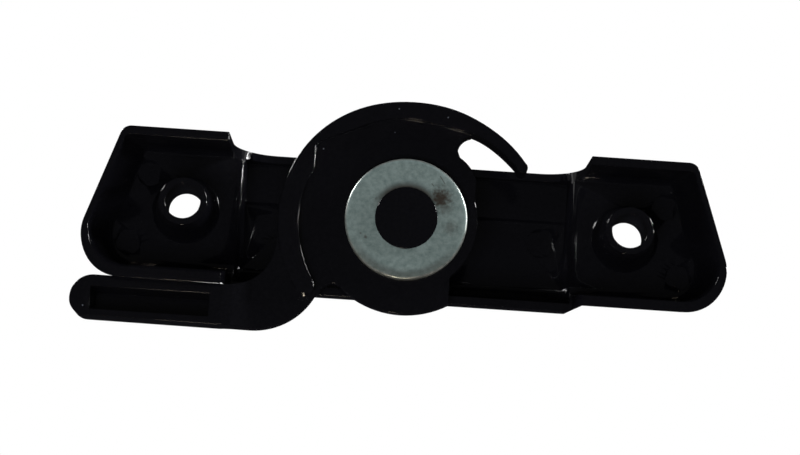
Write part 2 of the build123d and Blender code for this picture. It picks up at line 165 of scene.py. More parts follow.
def spot_share(
    tree: bpy.types.NodeTree,
    place: bpy.types.NodeSocket,
    spot: Spot,
    ragged: Union[float, bpy.types.NodeSocket] = 0.5,
) -> bpy.types.NodeSocket:
    """Share of a spot at each point, which fades with the distance from its centre.

    The noise times the radius is added to the distance. The sum eases from the spot's
    strength at its core's radius to nothing at its rim's.

    Args:
        tree: the node tree.
        place: object coordinates.
        spot: the spot.
        ragged: a noise from 0 to 1 that makes the spot's rim uneven.

    Returns:
        A socket from 0 to the spot's strength.
    """
    away = add_node(
        tree,
        "ShaderNodeVectorMath",
        {"operation": "DISTANCE"},
        {0: place, 1: (spot.x * MM, spot.y * MM, spot.z * MM)},
    )
    uneven = add_node(
        tree,
        "ShaderNodeMath",
        {"operation": "MULTIPLY_ADD"},
        {0: ragged, 1: spot.radius * MM, 2: away.outputs["Value"]},
    )
    share = add_node(
        tree,
        "ShaderNodeMapRange",
        {"interpolation_type": "SMOOTHSTEP"},
        {
            "Value": uneven.outputs[0],
            "From Min": spot.radius * SPOT_RIM * MM,
            "From Max": spot.radius * SPOT_CORE * MM,
            "To Max": spot.strength,
        },
    )
    return share.outputs[0]


@dataclass(frozen=True)
class Scratch:
    """A straight scratch on a flat face.

    Attributes:
        start: one end (x, y), in millimetres.
        end: the other end (x, y), in millimetres.
        width: its width, in millimetres.
        strength: its share of the stain colour, from 0 to 1.
    """

    start: tuple[float, float]
    end: tuple[float, float]
    width: float = 0.12
    strength: float = 0.7


@dataclass(frozen=True)
class DarkBand:
    """A band of the stain and shade colour round the axis, on one side of the X axis only. The one on
    the washer's rolled outer edge is painted shade.

    Attributes:
        radius: distance from the axis where the band is strongest, in millimetres.
        fade: distance from the axis where it has faded out, in millimetres.
        side_from: Y where the band starts to show, in millimetres.
        side_full: Y where it shows in full, in millimetres.
        strength: its share of the stain colour, from 0 to 1.
    """

    radius: float
    fade: float
    side_from: float
    side_full: float
    # strength: its share of the stain and shade colour, from 0 to 1.
    strength: float

    def share(
        self,
        tree: bpy.types.NodeTree,
        away: bpy.types.NodeSocket,
        across: bpy.types.NodeSocket,
    ) -> bpy.types.NodeSocket:
        """Share of the band: a fade with the distance times a fade along Y.

        Args:
            tree: the steel's node tree.
            away: distance from the axis.
            across: the place along Y.

        Returns:
            A socket from 0 to the band's strength.
        """
        near = add_node(
            tree,
            "ShaderNodeMapRange",
            {"interpolation_type": "SMOOTHSTEP"},
            {
                "Value": away,
                "From Min": self.fade * MM,
                "From Max": self.radius * MM,
                "To Max": self.strength,
            },
        )
        beside = add_node(
            tree,
            "ShaderNodeMapRange",
            {"interpolation_type": "SMOOTHSTEP"},
            {"Value": across, "From Min": self.side_from * MM, "From Max": self.side_full * MM},
        )
        both = add_node(
            tree,
            "ShaderNodeMath",
            {"operation": "MULTIPLY"},
            {0: near.outputs["Result"], 1: beside.outputs["Result"]},
        )
        return both.outputs[0]


@dataclass(frozen=True)
class GlossEnamel:
    """Gloss black stoving enamel, sprayed on a zinc die casting.

    The eye sees a near-black film with a clear, slightly wavy reflection, rounded
    over at every edge, with a few pale dust grains caught in it.

    Attributes:
        name: the material's name.
        thick: the film's colour where it lies thick.
        thin: its colour where it lies thin, a shade paler.
        mottle: size of the thick and thin patches, in millimetres.
        dust_colour: the colour of the dust grains.
        index: the film's index of refraction.
        smoothest: roughness where the film flowed out well.
        roughest: roughness where it dried thin.
        flow_spacing: distance between well and badly flowed places, in millimetres.
        flow_range: the noise values that give the smoothest and the roughest film.
        peel_spacing: distance between the waves of the orange peel, in millimetres.
        peel_height: height of those waves, in millimetres.
        peel_strength: the share of that height that shows.
        edge_radius: how round the film leaves an edge, in millimetres.
        edge_samples: how many looks round about the rounding takes.
        dust_spacing: distance between possible dust grains, in millimetres.
        dust_radius: radius of a grain, in millimetres.
        dust_share: share of the possible places that hold a grain.
        specks: single grains that lie where the photographed lock has them.
    """

    name: str
    thick: str = "#06060a"
    thin: str = "#121216"
    mottle: float = 0.45
    dust_colour: str = "#8d94a0"
    index: float = 1.5
    smoothest: float = 0.07
    roughest: float = 0.16
    flow_spacing: float = 8.0
    flow_range: tuple[float, float] = (0.35, 0.65)
    peel_spacing: float = 1.4
    peel_height: float = 0.004
    peel_strength: float = 0.6
    edge_radius: float = 0.20
    edge_samples: int = 6
    dust_spacing: float = 2.6
    dust_radius: float = 0.09
    dust_share: float = 0.10
    specks: tuple[Spot, ...] = ()

    def material(self) -> bpy.types.Material:
        """Build the enamel's node tree.

        Returns:
            The material.
        """
        material, tree = new_tree(self.name)
        place = add_node(tree, "ShaderNodeTexCoord").outputs["Object"]
        peel = add_node(
            tree,
            "ShaderNodeTexNoise",
            inputs={"Vector": place, "Scale": 1 / (self.peel_spacing * MM), "Detail": 2.0},
        )
        flow = add_node(
            tree,
            "ShaderNodeTexNoise",
            inputs={"Vector": place, "Scale": 1 / (self.flow_spacing * MM), "Detail": 3.0},
        )
        rough = add_node(
            tree,
            "ShaderNodeMapRange",
            inputs={
                "Value": flow.outputs["Fac"],
                "From Min": self.flow_range[0],
                "From Max": self.flow_range[1],
                "To Min": self.smoothest,
                "To Max": self.roughest,
            },
        )
        patches = add_node(
            tree,
            "ShaderNodeTexNoise",
            inputs={"Vector": place, "Scale": 1 / (self.mottle * MM), "Detail": 4.0},
        )
        film = add_node(
            tree,
            "ShaderNodeMix",
            {"data_type": "RGBA"},
            {0: patches.outputs["Fac"], 6: linear(self.thick), 7: linear(self.thin)},
        )
        colour = add_node(
            tree,
            "ShaderNodeMix",
            {"data_type": "RGBA"},
            {
                0: self.dust_mask(tree, place),
                6: film.outputs[2],
                7: linear(self.dust_colour),
            },
        )
        edge = add_node(
            tree,
            "ShaderNodeBevel",
            {"samples": self.edge_samples},
            {"Radius": self.edge_radius * MM},
        )
        bump = add_node(
            tree,
            "ShaderNodeBump",
            inputs={
                "Strength": self.peel_strength,
                "Distance": self.peel_height * MM,
                "Height": peel.outputs["Fac"],
                "Normal": edge.outputs["Normal"],
            },
        )
        shader = add_node(
            tree,
            "ShaderNodeBsdfPrincipled",
            inputs={
                "Base Color": colour.outputs[2],
                "Roughness": rough.outputs["Result"],
                "IOR": self.index,
                "Normal": bump.outputs["Normal"],
            },
        )
        add_node(tree, "ShaderNodeOutputMaterial", inputs={"Surface": shader.outputs[0]})
        return material

    def dust_mask(
        self, tree: bpy.types.NodeTree, place: bpy.types.NodeSocket
    ) -> bpy.types.NodeSocket:
        """Mask of the dust grains: near a cell's point, and only in a share of the cells.

        Where a single speck's share is larger than the mask, the speck's share counts.

        Args:
            tree: the enamel's node tree.
            place: object coordinates.

        Returns:
            A socket that is 1 on a grain, a speck's own strength on a speck and 0 elsewhere.
        """
        cells = add_node(
            tree,
            "ShaderNodeTexVoronoi",
            inputs={"Vector": place, "Scale": 1 / (self.dust_spacing * MM)},
        )
        near = add_node(
            tree,
            "ShaderNodeMath",
            {"operation": "LESS_THAN"},
            {0: cells.outputs["Distance"], 1: self.dust_radius / self.dust_spacing},
        )
        chosen = add_node(
            tree,
            "ShaderNodeMath",
            {"operation": "LESS_THAN"},
            {0: cells.outputs["Color"], 1: self.dust_share},
        )
        both = add_node(
            tree,
            "ShaderNodeMath",
            {"operation": "MULTIPLY"},
            {0: near.outputs[0], 1: chosen.outputs[0]},
        )
        total = both.outputs[0]
        for speck in self.specks:
            total = add_node(
                tree,
                "ShaderNodeMath",
                {"operation": "MAXIMUM"},
                {0: total, 1: spot_share(tree, place, speck)},
            ).outputs[0]
        return total


@dataclass(frozen=True)
class WasherSteel:
    """Cold rolled steel sheet of a stamped washer, zinc plated or blued, dulled by handling.

    The eye sees a soft grey metal, cloudy on the scale of its crystals or its oxide, with
    faint rolling lines, brown oil stains near the bore, a few fine scratches and an outer
    edge that is rubbed bright. Darker bands round the axis may be laid on one side; the one
    on the rolled edge is painted shade. The coat is duller than bare metal, so it mirrors less.

    Attributes:
        name: the material's name.
        light: the coat's colour where it is clean.
        dark: its colour where it is dulled.
        stain_and_shade: the colour of the oil stains and scratches, and of the darker bands, one of
            which is painted shade.
        roughness: roughness of the coat.
        cloud: size of the cloudy patches, in millimetres.
        line_spacing: distance between the rolling lines, in millimetres, coarser than the
            real ones so that they show.
        metal: how metallic the coat is, from 0 to 1.
        cloud_range: the noise values that give the dark and the light colour.
        line_stretch: the pattern's scale along the lines, against one across them.
        line_swing: how far the lines move the roughness to either side.
        line_height: height of the lines, in millimetres.
        line_strength: the share of that height that shows.
        rubbed: the colour where the outer edge is rubbed.
        rubbed_radius: distance from the axis where the rubbing starts, in millimetres.
        rubbed_fade: width over which it becomes full, in millimetres.
        rubbed_roughness: roughness where it is rubbed.
        rubbed_metal: how metallic it is there.
        grain: size of the ragged bits of a stain, in millimetres.
        dark_bands: darker bands round the axis; the one on the rolled outer edge is painted shade.
        spots: the stains.
        scratches: the scratches.
    """

    name: str
    light: str
    dark: str
    stain_and_shade: str
    roughness: float
    cloud: float
    line_spacing: float
    metal: float = 0.4
    cloud_range: tuple[float, float] = (0.3, 0.7)
    line_stretch: float = 0.06
    line_swing: float = 0.08
    line_height: float = 0.003
    line_strength: float = 0.15
    rubbed: str = "#cdcdc6"
    rubbed_radius: float = 8.4
    rubbed_fade: float = 0.25
    rubbed_roughness: float = 0.30
    rubbed_metal: float = 0.7
    grain: float = 0.45
    dark_bands: tuple[DarkBand, ...] = ()
    spots: tuple[Spot, ...] = ()
    scratches: tuple[Scratch, ...] = ()

    def material(self) -> bpy.types.Material:
        """Build the steel's node tree.

        Returns:
            The material.
        """
        material, tree = new_tree(self.name)
        place = add_node(tree, "ShaderNodeTexCoord").outputs["Object"]
        parts = add_node(tree, "ShaderNodeSeparateXYZ", inputs={0: place}).outputs
        flat = add_node(
            tree, "ShaderNodeCombineXYZ", inputs={"X": parts["X"], "Y": parts["Y"]}
        )
        radius = add_node(
            tree, "ShaderNodeVectorMath", {"operation": "LENGTH"}, {0: flat.outputs[0]}
        ).outputs["Value"]
        rubbed = add_node(
            tree,
            "ShaderNodeMapRange",
            {"interpolation_type": "SMOOTHSTEP"},
            {
                "Value": radius,
                "From Min": self.rubbed_radius * MM,
                "From Max": (self.rubbed_radius + self.rubbed_fade) * MM,
            },
        ).outputs["Result"]
        cloud = add_node(
            tree,
            "ShaderNodeTexNoise",
            inputs={
                "Vector": place,
                "Scale": 1 / (self.cloud * MM),
                "Detail": 9.0,
                "Roughness": 0.72,
            },
        )
        contrast = add_node(
            tree,
            "ShaderNodeMapRange",
            inputs={
                "Value": cloud.outputs["Fac"],
                "From Min": self.cloud_range[0],
                "From Max": self.cloud_range[1],
            },
        )
        coat = add_node(
            tree,
            "ShaderNodeMix",
            {"data_type": "RGBA"},
            {0: contrast.outputs["Result"], 6: linear(self.dark), 7: linear(self.light)},
        )
        # Stains and scratches, then the darker bands, one of them painted shade on the rolled edge, all
        # go into one mask
        stain_and_shade_share = self.stain_mask(tree, place)
        for film in self.dark_bands:
            stain_and_shade_share = add_node(
                tree,
                "ShaderNodeMath",
                {"operation": "MAXIMUM"},
                {0: film.share(tree, radius, parts["Y"]), 1: stain_and_shade_share},
            ).outputs[0]
        colour = add_node(
            tree,
            "ShaderNodeMix",
            {"data_type": "RGBA"},
            {0: stain_and_shade_share, 6: coat.outputs[2], 7: linear(self.stain_and_shade)},
        )
        patchy = add_node(
            tree,
            "ShaderNodeMath",
            {"operation": "MULTIPLY"},
            {0: rubbed, 1: contrast.outputs["Result"]},
        )
        bright = add_node(
            tree,
            "ShaderNodeMix",
            {"data_type": "RGBA"},
            {0: patchy.outputs[0], 6: colour.outputs[2], 7: linear(self.rubbed)},
        )
        along = add_node(
            tree,
            "ShaderNodeMapping",
            inputs={"Vector": place, "Scale": (1.0, self.line_stretch, 1.0)},
        )
        lines = add_node(
            tree,
            "ShaderNodeTexNoise",
            inputs={
                "Vector": along.outputs[0],
                "Scale": 1 / (self.line_spacing * MM),
                "Detail": 3.0,
            },
        )
        rough = add_node(
            tree,
            "ShaderNodeMapRange",
            inputs={
                "Value": lines.outputs["Fac"],
                "To Min": self.roughness - self.line_swing,
                "To Max": self.roughness + self.line_swing,
            },
        )
        smooth = add_node(
            tree,
            "ShaderNodeMix",
            {"data_type": "FLOAT"},
            {0: rubbed, 2: rough.outputs["Result"], 3: self.rubbed_roughness},
        )
        metal = add_node(
            tree,
            "ShaderNodeMix",
            {"data_type": "FLOAT"},
            {0: rubbed, 2: self.metal, 3: self.rubbed_metal},
        )
        bump = add_node(
            tree,
            "ShaderNodeBump",
            inputs={
                "Strength": self.line_strength,
                "Distance": self.line_height * MM,
                "Height": lines.outputs["Fac"],
            },
        )
        shader = add_node(
            tree,
            "ShaderNodeBsdfPrincipled",
            inputs={
                "Base Color": bright.outputs[2],
                "Metallic": metal.outputs[0],
                "Roughness": smooth.outputs[0],
                "Normal": bump.outputs["Normal"],
            },
        )
        add_node(tree, "ShaderNodeOutputMaterial", inputs={"Surface": shader.outputs[0]})
        return material

    def stain_mask(
        self, tree: bpy.types.NodeTree, place: bpy.types.NodeSocket
    ) -> Union[float, bpy.types.NodeSocket]:
        """Largest share of any stain or scratch at each point, the stains made ragged by a noise.

        Args:
            tree: the steel's node tree.
            place: object coordinates.

        Returns:
            A socket from 0 to 1, or plain 0 where there are no stains and scratches.
        """
        total: Union[float, bpy.types.NodeSocket] = 0.0
        ragged = add_node(
            tree,
            "ShaderNodeTexNoise",
            inputs={"Vector": place, "Scale": 1 / (self.grain * MM), "Detail": 6.0},
        )
        for spot in self.spots:
            total = add_node(
                tree,
                "ShaderNodeMath",
                {"operation": "MAXIMUM"},
                {0: total, 1: spot_share(tree, place, spot, ragged.outputs["Fac"])},
            ).outputs[0]
        for scratch in self.scratches:
            total = add_node(
                tree,
                "ShaderNodeMath",
                {"operation": "MAXIMUM"},
                {0: total, 1: self.scratch_share(tree, place, scratch)},
            ).outputs[0]
        return total

    def scratch_share(
        self, tree: bpy.types.NodeTree, place: bpy.types.NodeSocket, scratch: Scratch
    ) -> bpy.types.NodeSocket:
        """Share of a scratch at each point, from the distance to its centre line.

        The place is turned so that the scratch lies along X about the origin, its X is
        reduced by as much as lies within half the scratch's length, and the length of
        what is left is the distance.

        Args:
            tree: the steel's node tree.
            place: object coordinates.
            scratch: the scratch.

        Returns:
            A socket from 0 to the scratch's strength.
        """
        run = (scratch.end[0] - scratch.start[0], scratch.end[1] - scratch.start[1])
        half = math.hypot(*run) / 2 * MM
        middle = [(a + b) / 2 * MM for a, b in zip(scratch.start, scratch.end)]
        turned = add_node(
            tree,
            "ShaderNodeMapping",
            {"vector_type": "TEXTURE"},
            {
                "Vector": place,
                "Location": (*middle, WASHER_FACE * MM),
                "Rotation": (0.0, 0.0, math.atan2(run[1], run[0])),
            },
        )
        parts = add_node(tree, "ShaderNodeSeparateXYZ", inputs={0: turned.outputs[0]}).outputs
        inside = add_node(
            tree,
            "ShaderNodeClamp",
            inputs={"Value": parts["X"], "Min": -half, "Max": half},
        )
        past = add_node(
            tree,
            "ShaderNodeMath",
            {"operation": "SUBTRACT"},
            {0: parts["X"], 1: inside.outputs[0]},
        )
        gap = add_node(
            tree,
            "ShaderNodeCombineXYZ",
            inputs={"X": past.outputs[0], "Y": parts["Y"], "Z": parts["Z"]},
        )
        away = add_node(
            tree, "ShaderNodeVectorMath", {"operation": "LENGTH"}, {0: gap.outputs[0]}
        )
        share = add_node(
            tree,
            "ShaderNodeMapRange",
            {"interpolation_type": "SMOOTHSTEP"},
            {
                "Value": away.outputs["Value"],
                "From Min": scratch.width * MM,
                "From Max": 0.0,
                "To Max": scratch.strength,
            },
        )
        return share.outputs[0]


def merged_copy(node: str, name: str) -> bpy.types.Object:
    """Copy a CAD node's mesh with its loose triangles welded.

    Args:
        node: the CAD node's name.
        name: the new piece's name.

    Returns:
        The new object, at the origin.
    """
    work = bmesh.new()
    work.from_mesh(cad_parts[node].data)
    bmesh.ops.remove_doubles(work, verts=work.verts, dist=WELD * MM)
    mesh = bpy.data.meshes.new(name)
    work.to_mesh(mesh)
    work.free()
    piece = bpy.data.objects.new(name, mesh)
    bpy.context.scene.collection.objects.link(piece)
    return piece


@dataclass(frozen=True)
class FootFlare:
    """The drafted foot of the pads' front skirt, which spreads towards the sash face.

    Seen from the sash side, the foot stands just in front of the handle's inner edge, so no
    light shows between the two. Every size is in millimetres.

    Attributes:
        spread: how far the foot by the handle moves at the sash face.
        far_spread: how far the other pad's foot moves there.
        fade_height: the height over the sash face at which it has faded out, below the
            handle's near face, so that the handle keeps its clearance.
        wall_y: the front wall's distance from the middle, where the spread is full.
        still_y: the distance from the middle up to which nothing moves.
        gate_x: the distance of the lever gate's side, inside which nothing moves.
        gate_fade: how far past the gate's side the spread is full.
    """

    spread: float = 0.5
    far_spread: float = 0.25
    fade_height: float = 1.5
    wall_y: float = 10.9
    still_y: float = 5.0
    gate_x: float = 24.0
    gate_fade: float = 1.5

    def apply(self, mesh: bpy.types.Mesh) -> None:
        """Move the mesh's vertices: the spread times a share for y, one for z and one for x.

        The share for z falls evenly from one at the sash face. The other two ease as t * t *
        (3 - 2 t), where t runs from nought to one over their ranges. A cut at the height
        where the spread ends keeps everything above it as it is.

        Args:
            mesh: the housing's own mesh, in metres.
        """
        skirt = bmesh.new()
        skirt.from_mesh(mesh)
        bmesh.ops.bisect_plane(
            skirt,
            geom=skirt.verts[:] + skirt.edges[:] + skirt.faces[:],
            dist=CUT_SLACK * MM,
            plane_co=(0.0, 0.0, self.fade_height * MM),
            plane_no=(0.0, 0.0, 1.0),
        )
        skirt.to_mesh(mesh)
        skirt.free()
        flat = np.empty(len(mesh.vertices) * 3, np.float32)
        mesh.vertices.foreach_get("co", flat)
        points = flat.reshape(-1, 3)
        x, y, z = points.T / MM
        forward = np.clip((-y - self.still_y) / (self.wall_y - self.still_y), 0.0, 1.0)
        outward = np.clip((np.abs(x) - self.gate_x) / self.gate_fade, 0.0, 1.0)
        low = np.clip(1.0 - z / self.fade_height, 0.0, 1.0)
        eased = forward**2 * (3 - 2 * forward) * outward**2 * (3 - 2 * outward)
        spread = np.where(x > 0, self.spread, self.far_spread)
        points[:, 1] -= spread * MM * eased * low
        mesh.vertices.foreach_set("co", flat)
        mesh.update()


@dataclass
class Casting:
    """A die casting that is shown as a welded, smoothly shaded copy of its CAD node.

    Attributes:
        node: the CAD node that it stands for.
        name: the piece's name.
        body: the body that it rides on.
        slot: its slot in the record; not used.
        finish: its finish.
        crease: the angle, in degrees, past which an edge is kept crisp.
        flare: the spread of its skirt's foot, if it has one.
    """

    node: str
    name: str
    body: Body
    slot: Slot
    finish: GlossEnamel
    crease: float = 24.0
    flare: FootFlare | None = None

    def build(self) -> bpy.types.Object:
        """Make the copy, shade it, dress it and hang it on its body.

        Returns:
            The finished piece.
        """
        piece = merged_copy(self.node, self.name)
        mesh = piece.data
        if self.flare is not None:
            self.flare.apply(mesh)
        mesh.polygons.foreach_set("use_smooth", np.ones(len(mesh.polygons), bool))
        mesh.set_sharp_from_angle(angle=math.radians(self.crease))
        weights = piece.modifiers.new("flat_faces_lead", "WEIGHTED_NORMAL")
        weights.keep_sharp = True
        mesh.materials.clear()
        mesh.materials.append(self.finish.material())
        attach(piece, self.body.value)
        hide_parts(self.node)
        return piece


def ring_surface(profile: np.ndarray, segments: int, name: str) -> bpy.types.Object:
    """Carry a closed profile round the Z axis.

    The point (r, z) of the profile at the angle a goes to (r cos a, r sin a, z). The
    profile runs anticlockwise as seen with r to the right and z up, so faces point out.

    Args:
        profile: the profile's points, one row (r, z) each, in millimetres.
        segments: how many steps go round.
        name: the piece's name.

    Returns:
        The new object, at the origin.
    """
    angles = np.linspace(0, 2 * np.pi, segments, endpoint=False)
    count = len(profile)
    points = np.empty((segments, count, 3))
    points[..., 0] = np.cos(angles)[:, None] * profile[None, :, 0]
    points[..., 1] = np.sin(angles)[:, None] * profile[None, :, 0]
    points[..., 2] = profile[None, :, 1]
    here = np.arange(segments)[:, None] * count
    there = (np.arange(segments)[:, None] + 1) % segments * count
    now = np.arange(count)[None, :]
    after = (np.arange(count)[None, :] + 1) % count
    faces = np.stack([here + now, there + now, there + after, here + after], axis=-1)
    mesh = bpy.data.meshes.new(name)
    mesh.from_pydata((points.reshape(-1, 3) * MM).tolist(), [], faces.reshape(-1, 4).tolist())
    mesh.polygons.foreach_set("use_smooth", np.ones(len(mesh.polygons), bool))
    mesh.update()
    piece = bpy.data.objects.new(name, mesh)
    bpy.context.scene.collection.objects.link(piece)
    return piece


def arc(centre: tuple[float, float], radius: float, start: float, end: float, steps: int) -> np.ndarray:
    """Points of an arc: centre plus radius times (cos, sin) of evenly spaced angles.

    Args:
        centre: the arc's centre.
        radius: its radius.
        start: its first angle, in degrees.
        end: its last angle, in degrees.
        steps: how many steps it takes.

    Returns:
        One row per point.
    """
    turn = np.radians(np.linspace(start, end, steps + 1))
    return np.stack([centre[0] + radius * np.cos(turn), centre[1] + radius * np.sin(turn)], axis=1)


@dataclass
class PostRing:
    """A washer on the post, turned from its section and dressed as steel.

    Attributes:
        finish: its finish.
        node: the CAD node that it stands for.
        name: the piece's name.
        slot: its slot in the record; not used.
        bore: diameter of its bore, in millimetres.
        segments: how many steps go round it.
    """

    finish: WasherSteel
    node: str
    name: str
    slot: Slot
    bore: float
    segments: int

    def extents(self) -> tuple[float, float, float, float]:
        """Inner radius, outer radius, near face and far face of the CAD node, in millimetres."""
        low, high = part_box(self.node)
        return self.bore / 2, high.x / MM, low.z / MM, high.z / MM

    def profile(self) -> np.ndarray:
        """Section of the washer as points (r, z) in millimetres, which each kind gives."""
        raise NotImplementedError

    def build(self) -> bpy.types.Object:
        """Make the washer, dress it and hang it on the base.

        Returns:
            The finished piece.
        """
        piece = ring_surface(self.profile(), self.segments, self.name)
        piece.data.materials.append(self.finish.material())
        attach(piece, Body.BASE.value)
        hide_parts(self.node)
        return piece


@dataclass
class RetainingWasher(PostRing):
    """Stamped washer: the die rolled its near outer edge and left the far edge square.

    Attributes:
        edge_round: radius of the sharp edges, in millimetres.
        edge_steps: steps round each of them.
        roll: width of the rolled edge, in millimetres.
        roll_depth: how far the rolled edge drops, in millimetres.
        roll_points: points across the rolled edge.
        face_points: points across the near face.
        face_margin: what the face's points keep clear of the roll, in millimetres.
    """

    node: str = "retaining_washer"
    name: str = "washer_plated"
    slot: Slot = Slot.WASHER
    bore: float = 8.73
    segments: int = 192
    edge_round: float = 0.10
    edge_steps: int = 5
    roll: float = 0.7
    roll_depth: float = 0.4
    roll_points: int = 13
    face_points: int = 8
    face_margin: float = 0.05

    def profile(self) -> np.ndarray:
        """Section of the washer: a rectangle with three small rounds and one rolled edge.

        The roll is a quarter of an ellipse, as wide as the roll and as high as its depth.

        Returns:
            The section's points (r, z) in millimetres, anticlockwise.
        """
        inner, outer, near, far = self.extents()
        r = self.edge_round
        turn = np.radians(np.linspace(0, 90, self.roll_points))
        across = outer - self.roll + self.roll * np.sin(turn)
        down = near + self.roll_depth * (1 - np.cos(turn))
        face = np.linspace(inner + 1.2 * r, outer - self.roll - self.face_margin, self.face_points)
        return np.concatenate(
            [
                arc((inner + r, near + r), r, 180, 270, self.edge_steps),
                np.stack([face, np.full(self.face_points, near)], axis=1),
                np.stack([across, down], axis=1),
                arc((outer - r, far - r), r, 0, 90, self.edge_steps),
                arc((inner + r, far - r), r, 90, 180, self.edge_steps),
            ]
        )


@dataclass
class SpringWasher(PostRing):
    """Cone spring pressed from sheet, its edges broken by tumbling.

    Attributes:
        thickness: thickness of the sheet, in millimetres.
        edge_break: how far the tumbling took each corner back, in millimetres.
        corner_points: points round each corner.
        hold: place of the point that holds each face flat, in edge breaks from the corner.
    """

    node: str = "spring_washer"
    name: str = "spring_blued"
    slot: Slot = Slot.SPRING
    bore: float = 10.5
    segments: int = 144
    thickness: float = 0.5
    edge_break: float = 0.08
    corner_points: int = 6
    hold: float = 1.5

    def profile(self) -> np.ndarray:
        """Section of the cone: a leaning parallelogram with its four corners rounded.

        Each corner P gives the curve (1-s)^2 A + 2s(1-s) P + s^2 B, where A and B lie at
        the edge break from P on the two sides that meet there. One more point on each
        side holds the flat faces flat when they are shaded.

        Returns:
            The section's points (r, z) in millimetres, anticlockwise.
        """
        inner, outer, near, far = self.extents()
        corners = np.array(
            [
                (inner, far - self.thickness),
                (outer, near),
                (outer, near + self.thickness),
                (inner, far),
            ]
        )
        before = np.roll(corners, 1, axis=0) - corners
        after = np.roll(corners, -1, axis=0) - corners
        before *= self.edge_break / np.linalg.norm(before, axis=1)[:, None]
        after *= self.edge_break / np.linalg.norm(after, axis=1)[:, None]
        s = np.linspace(0, 1, self.corner_points)[None, :, None]
        start = (corners + before)[:, None, :]
        end = (corners + after)[:, None, :]
        curves = (1 - s) ** 2 * start + 2 * s * (1 - s) * corners[:, None, :] + s**2 * end
        hold_in = (corners + before * self.hold)[:, None, :]
        hold_out = (corners + after * self.hold)[:, None, :]
        return np.concatenate([hold_in, curves, hold_out], axis=1).reshape(-1, 2)


@dataclass(frozen=True)
class Lamp:
    """A square soft box that points at the lock.

    Attributes:
        name: the lamp's name.
        azimuth: direction in plan, in degrees from +X towards +Y.
        elevation: height above the sash plane, in degrees.
        size: side of the soft box, in metres.
        power: its power, in watts.
        colour: its colour.
        mirrored: whether gloss shows the box itself, and not only what it lights.
    """

    name: str
    azimuth: float
    elevation: float
    size: float
    power: float
    colour: str = "#ffffff"
    mirrored: bool = True


@dataclass(frozen=True)
class DomeStop:
    """Brightness of the surroundings at one height of the line of sight.

    Attributes:
        height: the sine of the elevation, from -1 straight down to 1 straight up.
        strength: the brightness there, where 1 is white.
    """

    height: float
    strength: float


